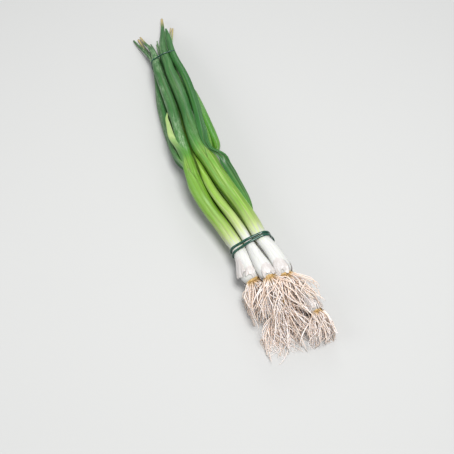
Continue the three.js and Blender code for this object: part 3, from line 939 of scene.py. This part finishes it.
ROOT_STEPS = 24
ROOT_SIDES = 4
ROOT_SMOOTHINGS = 3
ROOT_SEED = 40
ROOT_ROOM = 0.75 * MM  # between a root's middle and a shank's skin
FLOOR_ROOM = 0.7 * MM
WILD_SHARE = 0.12  # of the roots, which are longer and more crooked than the rest
DOME = 2.4 * MM  # how far the roots' starts bulge out in the plate's middle
DOME_RIM = 0.8 * MM  # how far inside the shank's end they are at the plate's rim
PLATE_HALF_THICKNESS = 2.9 * MM


def grow_strands(shank, count, length, seed):
    """Root lines that leave the plate, sway in slow waves, bend down and lie over the rest."""
    sizes = bpy.context.scene.onion_roots
    draw = np.random.default_rng(seed)
    plate = shank.radius([shank.start])[0] * 0.95
    centre = shank.middle([shank.start])[0]

    # Starts all over the plate, apart from its upper edge
    share = np.sqrt((np.arange(count) + 0.5) / count)
    angle = np.arange(count) * GOLDEN_TURN + draw.uniform(-0.3, 0.3, count)
    out = np.stack([np.cos(angle), np.zeros(count), np.sin(angle)], axis=1)
    out[:, 2] = np.where(out[:, 2] * share > 0.5, -out[:, 2], out[:, 2])
    at = out * (plate * share)[:, None] + [centre[0], shank.start, centre[1]]
    at[:, 1] -= DOME * np.sqrt(np.clip(1 - share**2, 0, 1)) - DOME_RIM

    # Where each root heads at first, the two waves that it sways in, and its length
    first = out * (0.15 + 1.2 * share * draw.uniform(0.2, 1.2, count))[:, None]
    first[:, 2] *= np.where(first[:, 2] > 0, 0.5, 1)
    first[:, 1] = -1
    first += draw.normal(0, 0.2, (count, 3))
    pace = draw.uniform(2, 9, (2, count, 3))
    phase = draw.uniform(0, FULL_TURN, (2, count, 3))
    size = draw.normal(0, sizes.curl, (2, count, 3))
    reach = length * draw.uniform(0.45, 1.0, count) ** 0.7
    wild = draw.random(count) < WILD_SHARE
    size[:, wild] *= 1.9
    reach[wild] *= 1.15

    lines = [at.copy()]
    for grown in np.arange(1, ROOT_STEPS + 1) / ROOT_STEPS:
        sway = (size * np.sin(pace * grown + phase)).sum(axis=0) * ramp(grown, 0, 0.4)
        heading = first * (1 - 0.55 * grown) + sway + [0, -0.5 * grown, -sizes.fall * grown]
        heading[:, 1] = np.minimum(heading[:, 1], -0.15)
        heading /= np.linalg.norm(heading, axis=1, keepdims=True)
        at = at + heading * (reach / ROOT_STEPS)[:, None]
        at = within_box(kept_clear(at, shank), centre[1] + plate + 5 * MM)
        lines.append(at.copy())
    lines = np.stack(lines, axis=1)
    for _ in range(ROOT_SMOOTHINGS):
        lines[:, 1:-1] = 0.5 * lines[:, 1:-1] + 0.25 * (lines[:, :-2] + lines[:, 2:])
    return lines, draw


def kept_clear(at, own):
    """Points moved out of the shanks and off the floor."""
    for shank in SHANKS:
        from_end = 3 * MM if shank is own else -2.6 * MM
        beside = at[:, 1] > shank.start + from_end
        level = np.maximum(at[:, 1], shank.start)
        middle = shank.middle(level)
        radius = shank.radius(level) + ROOT_ROOM
        away = at[:, [0, 2]] - middle
        distance = np.maximum(np.linalg.norm(away, axis=1), 1e-6)
        push = np.where(beside & (distance < radius), radius / distance, 1)[:, None]
        at[:, [0, 2]] = middle + away * push
    at[:, 2] = np.maximum(at[:, 2], FLOOR_ROOM)
    return at


def within_box(at, top):
    """Points drawn in softly where they near the box's sides, its root end or the given height."""
    low, high = CAD_BOX
    sides = [
        (0, 1, high.x, 9 * MM),
        (0, -1, -low.x, 9 * MM),
        (1, -1, 5 * MM - low.y, 9 * MM),
        (2, 1, top, 5 * MM),
    ]
    for axis, sign, limit, room in sides:
        over = sign * at[:, axis] - (limit - room)
        drawn_in = sign * (limit - room * np.exp(-np.maximum(over, 0) / room))
        at[:, axis] = np.where(over > 0, drawn_in, at[:, axis])
    return at


def strand_mesh(lines, radius, draw):
    """Thin strands along the lines, as arrays of corners, faces and marks."""
    count, points = lines.shape[:2]
    tangent = np.gradient(lines, axis=1)
    tangent /= np.linalg.norm(tangent, axis=2, keepdims=True)
    across = np.cross(tangent, [0.31, 0.17, 0.93])
    across /= np.linalg.norm(across, axis=2, keepdims=True)
    other = np.cross(tangent, across)
    share = np.linspace(0, 1, points)
    size = radius[:, None] * (1 - 0.62 * share**1.4)
    size = size * draw.uniform(0.88, 1.12, size.shape)
    size[:, -1] *= 0.3
    angle = np.arange(ROOT_SIDES) * FULL_TURN / ROOT_SIDES
    ring = across[:, :, None] * np.cos(angle)[:, None] + other[:, :, None] * np.sin(angle)[:, None]
    corners = (lines[:, :, None] + ring * size[:, :, None, None]).reshape(-1, 3)
    first = (np.arange(count)[:, None, None] * points + np.arange(points - 1)[None, :, None]) * ROOT_SIDES
    side = np.arange(ROOT_SIDES)
    after = (side + 1) % ROOT_SIDES
    near, far = first + side, first + after
    faces = np.stack([near, far, far + ROOT_SIDES, near + ROOT_SIDES], axis=-1)
    ends = (np.arange(count)[:, None] * points + points - 1) * ROOT_SIDES + side
    shape = (count, points, ROOT_SIDES)
    marks = {
        "growth": np.broadcast_to(share[:, None], shape).ravel(),
        "tint": np.broadcast_to(draw.uniform(0, 1, count)[:, None, None], shape).ravel(),
        "grown": corners,
    }
    return corners, faces.reshape(-1, 4).tolist() + ends.tolist(), marks


def build_tuft(shank, index, count, length):
    sizes = bpy.context.scene.onion_roots
    lines, draw = grow_strands(shank, count, length, ROOT_SEED + index)
    radius = sizes.radius * draw.uniform(0.5, 1.15, count)
    corners, faces, marks = strand_mesh(lines, radius, draw)
    deselect_all()
    bpy.ops.mesh.primitive_plane_add()
    piece = bpy.context.object
    piece.data.clear_geometry()
    piece.data.from_pydata(corners.tolist(), [], faces)
    mark_vertices(piece, marks)
    node = shank.node.replace("_shank", "_roots")
    finish_mesh(piece, node + "_strands", finish_named("root_strands", root_finish))
    return place_piece(piece, "roots", node)


def build_plate(shank, index):
    """A bumpy, rounded disc under the shank, with its edge tucked into the skin."""
    centre = shank.middle([shank.start])[0]
    half_width = shank.radius([shank.start])[0] * 0.97
    deselect_all()
    bpy.ops.mesh.primitive_uv_sphere_add(segments=28, ring_count=14, radius=1)
    piece = bpy.context.object
    ball = vertex_places(piece)
    draw = random.Random(index)
    bumps = 0
    for _ in range(6):
        wave = np.array([draw.uniform(-9, 9) for _ in range(3)])
        bumps = bumps + np.sin(ball @ wave + draw.uniform(0, 6))
    places = ball * (1 + 0.035 * bumps)[:, None] * [half_width, PLATE_HALF_THICKNESS, half_width]
    move_vertices(piece, places + [centre[0], shank.start + 0.2 * MM, centre[1]])
    mark_vertices(piece, {"grown": places})
    name = shank.node.replace("_shank", "_root_plate")
    finish_mesh(piece, name, finish_named("root_plate", plate_finish))
    return place_piece(piece, "roots")


class ONIONS_OT_roots(bpy.types.Operator):
    """Build each onion's root plate and its tuft of roots"""

    bl_idname = "onions.roots"
    bl_label = "Build roots"

    def execute(self, context):
        sizes = context.scene.onion_roots
        for index, shank in enumerate(SHANKS):
            space = shank.start - (CAD_BOX[0].y - 4 * MM)
            build_plate(shank, index)
            build_tuft(shank, index, sizes.strands, min(sizes.length, 1.25 * space))
        return {"FINISHED"}


# Bands

HULL_TURNS = 48  # places round each held rod
LINE_TURNS = 360  # directions in which the band's line is found
LINE_POINTS = 720
LAP_STEPS = 200
BAND_SIDES = 12
SQUARENESS = 0.7  # 1 gives a round strand, and less a squarer one


def support_line(y, half_width, stand_off):
    """The closed line, as evenly spaced (x, z), that stands off everything which the band holds."""
    turns = np.arange(HULL_TURNS) / HULL_TURNS
    held = [rod for rod in RODS.values() if rod.start < y < rod.tip]
    levels = np.array([y - half_width, y, y + half_width])
    corners = np.concatenate([rod.skin(levels, turns).reshape(-1, 2) for rod in held])
    hull = corners[geometry.convex_hull_2d([Vector(corner) for corner in corners])]
    angles = np.arange(LINE_TURNS) * FULL_TURN / LINE_TURNS
    out = np.stack([np.cos(angles), np.sin(angles)], axis=1)
    furthest = hull[np.argmax(hull @ out.T, axis=0)] + out * stand_off
    closed = np.concatenate([furthest, furthest[:1]])
    travelled = np.concatenate([[0], np.cumsum(np.linalg.norm(np.diff(closed, axis=0), axis=1))])
    even = np.linspace(0, travelled[-1], LINE_POINTS + 1)[:-1]
    return np.stack([np.interp(even, travelled, closed[:, axis]) for axis in (0, 1)], axis=1)


def unmoved(travelled):
    return 0 * travelled


def build_band(name, node, line, y, laps, half_width, half_height, sideways=unmoved, hump=unmoved):
    """A torus shaped to a strand that goes round the line, one or more laps."""
    steps = LAP_STEPS * laps
    deselect_all()
    bpy.ops.mesh.primitive_torus_add(
        major_segments=steps, minor_segments=BAND_SIDES, major_radius=1, minor_radius=0.25
    )
    piece = bpy.context.object
    ring = vertex_places(piece)
    step = np.rint(np.arctan2(ring[:, 1], ring[:, 0]) / FULL_TURN * steps).astype(int) % steps
    angle = np.arctan2(ring[:, 2], np.hypot(ring[:, 0], ring[:, 1]) - 1)
    travelled = step / steps * laps

    # Its place on the line, and the way out from there
    count = len(line)
    spot = travelled % 1 * count
    low = np.floor(spot).astype(int)
    place = mixed(line[low % count], line[(low + 1) % count], (spot - low)[:, None])
    along = line[(low + 6) % count] - line[(low - 6) % count]
    along /= np.linalg.norm(along, axis=1, keepdims=True)
    out = np.stack([along[:, 1], -along[:, 0]], axis=1)

    high = half_height * np.sign(np.cos(angle)) * np.abs(np.cos(angle)) ** SQUARENESS
    wide = half_width * np.sign(np.sin(angle)) * np.abs(np.sin(angle)) ** SQUARENESS
    place = place + out * (hump(travelled) + high)[:, None]
    move_vertices(piece, np.stack([place[:, 0], y + sideways(travelled) + wide, place[:, 1]], axis=1))
    mark_vertices(piece, {"grown": np.stack([wide, high, 0.12 * travelled], axis=1)})
    finish_mesh(piece, name, finish_named("green_rubber", rubber_finish))
    return place_piece(piece, "band", node)


def lap_sideways(travelled):
    """The two laps lie apart on top, close together at the sides, and change places at the start."""
    apart = bpy.context.scene.onion_band.apart
    lap, share = np.floor(travelled) % 2, travelled % 1
    top = 0.5 - 0.5 * np.cos(FULL_TURN * (share - 0.12))
    near_start = np.minimum(share, 1 - share) * FULL_TURN
    return np.where(lap == 0, 1, -1) * apart * (0.55 + 0.45 * top) * np.tanh(near_start / 0.3)


def lap_hump(travelled):
    """One lap rises over the other where they cross."""
    strand = bpy.context.scene.onion_band.strand
    lap, share = np.floor(travelled) % 2, travelled % 1
    from_start = FULL_TURN * np.where(share < 0.5, share, share - 1)
    on_top = (lap == 0) == (share < 0.5)
    return np.where(on_top, 2.5 * strand * np.exp(-((from_start / 0.42) ** 2)), 0)


class ONIONS_OT_bands(bpy.types.Operator):
    """Build the doubled rubber band and the thin band round the leaves"""

    bl_idname = "onions.bands"
    bl_label = "Build bands"

    def execute(self, context):
        sizes = context.scene.onion_band
        wide, thin = sizes.strand, sizes.leaf_strand
        line = support_line(BAND_Y, sizes.apart + wide, wide * 0.8)
        build_band(
            "rubber_band_strand", "rubber_band", line, BAND_Y, 2, wide, wide * 0.85, lap_sideways, lap_hump
        )
        line = support_line(LEAF_BAND_Y, thin, thin * 0.8)
        build_band("leaf_band_strand", "leaf_band", line, LEAF_BAND_Y, 1, thin, thin)
        return {"FINISHED"}


# Stage

FLOOR_SIZE = 6
LIT_PLACE = Vector((0, 0, 20 * MM))
WORLD_COLOUR = (0.93, 0.96, 1.0, 1)
WORLD_STRENGTH = 0.36
# Each light's place, its two sides in metres and its power in watts
LIGHTS = {
    "key_light": ((0.1, -0.3, 1.3), (0.45, 0.45), 19.5),
    "side_light": ((-0.9, 0.2, 0.7), (0.6, 0.6), 3),
    "back_light": ((0.45, 1.1, 0.8), (0.6, 0.4), 4),
}


def area_light(name, place, size, power):
    """A soft light that faces the bunch."""
    deselect_all()
    bpy.ops.object.light_add(type="AREA", location=place)
    light = bpy.context.object
    light.name = name
    light.data.shape = "RECTANGLE"
    light.data.size, light.data.size_y = size
    light.data.energy = power
    light.rotation_euler = (LIT_PLACE - Vector(place)).to_track_quat("-Z", "Y").to_euler()


class ONIONS_OT_stage(bpy.types.Operator):
    """Lay the floor, hang the lights and set up the camera"""

    bl_idname = "onions.stage"
    bl_label = "Build stage"

    def execute(self, context):
        deselect_all()
        bpy.ops.mesh.primitive_plane_add(size=FLOOR_SIZE, location=(0, 0, 0))
        floor = context.object
        floor.name = "floor"
        floor.data.materials.append(finish_named("floor", floor_finish))
        self.lights(context)
        self.camera(context)
        return {"FINISHED"}

    def lights(self, context):
        world = context.scene.world or bpy.data.worlds.new("soft_daylight")
        context.scene.world = world
        world.use_nodes = True
        background = world.node_tree.nodes["Background"]
        background.inputs["Color"].default_value = WORLD_COLOUR
        background.inputs["Strength"].default_value = WORLD_STRENGTH
        for name, (place, size, power) in LIGHTS.items():
            area_light(name, place, size, power)
        context.scene.view_settings.view_transform = "Standard"

    def camera(self, context):
        stage = context.scene.onion_stage
        back = Vector(
            (
                math.sin(stage.azimuth) * math.cos(stage.elevation),
                -math.cos(stage.azimuth) * math.cos(stage.elevation),
                math.sin(stage.elevation),
            )
        )
        band = Vector((BAND_MIDDLE.x, BAND_Y, 20 * MM))
        bpy.ops.object.camera_add(location=band + back * stage.distance)
        camera = context.object
        camera.name = "photo_camera"
        camera.data.lens = stage.lens
        camera.data.sensor_width = SENSOR_WIDTH
        # Turned from the band's middle until that falls on its place in the picture.
        focal = stage.lens / SENSOR_WIDTH * PICTURE_SIZE
        seen = Vector((stage.band_x - PICTURE_SIZE / 2, PICTURE_SIZE / 2 - stage.band_y, -focal))
        turn = Vector((0, 0, -1)).rotation_difference(seen)
        camera.rotation_euler = ((-back).to_track_quat("-Z", "Y") @ turn.inverted()).to_euler()
        context.scene.camera = camera


class ONIONS_PT_panel(bpy.types.Panel):
    """Lists the steps that build the bunch"""

    bl_label = "Spring Onion Bunch"
    bl_idname = "ONIONS_PT_panel"
    bl_space_type = "VIEW_3D"
    bl_region_type = "UI"
    bl_category = "Onions"

    def draw(self, context):
        layout = self.layout
        for operator in OPERATORS:
            layout.operator(operator.bl_idname)
        for name in SIZE_GROUPS:
            box = layout.box()
            group = getattr(context.scene, name)
            for size in group.bl_rna.properties:
                if size.identifier not in ("rna_type", "name"):
                    box.prop(group, size.identifier)


SIZE_GROUPS = {
    "onion_skin": SkinSizes,
    "onion_roots": RootSizes,
    "onion_band": BandSizes,
    "onion_colours": PlantColours,
    "onion_stage": StageSizes,
}
OPERATORS = (
    ONIONS_OT_stage,
    ONIONS_OT_shanks,
    ONIONS_OT_papers,
    ONIONS_OT_leaves,
    ONIONS_OT_bent_leaves,
    ONIONS_OT_roots,
    ONIONS_OT_bands,
)


def register():
    for group in SIZE_GROUPS.values():
        bpy.utils.register_class(group)
    for operator in OPERATORS:
        bpy.utils.register_class(operator)
    bpy.utils.register_class(ONIONS_PT_panel)
    for name, group in SIZE_GROUPS.items():
        setattr(bpy.types.Scene, name, PointerProperty(type=group))


def unregister():
    for name in SIZE_GROUPS:
        delattr(bpy.types.Scene, name)
    bpy.utils.unregister_class(ONIONS_PT_panel)
    for operator in reversed(OPERATORS):
        bpy.utils.unregister_class(operator)
    for group in reversed(SIZE_GROUPS.values()):
        bpy.utils.unregister_class(group)


def main():
    register()
    bpy.ops.onions.stage()
    bpy.ops.onions.shanks()
    bpy.ops.onions.papers()
    bpy.ops.onions.leaves()
    bpy.ops.onions.bent_leaves()
    bpy.ops.onions.roots()
    bpy.ops.onions.bands()


if __name__ == "__main__":
    main()
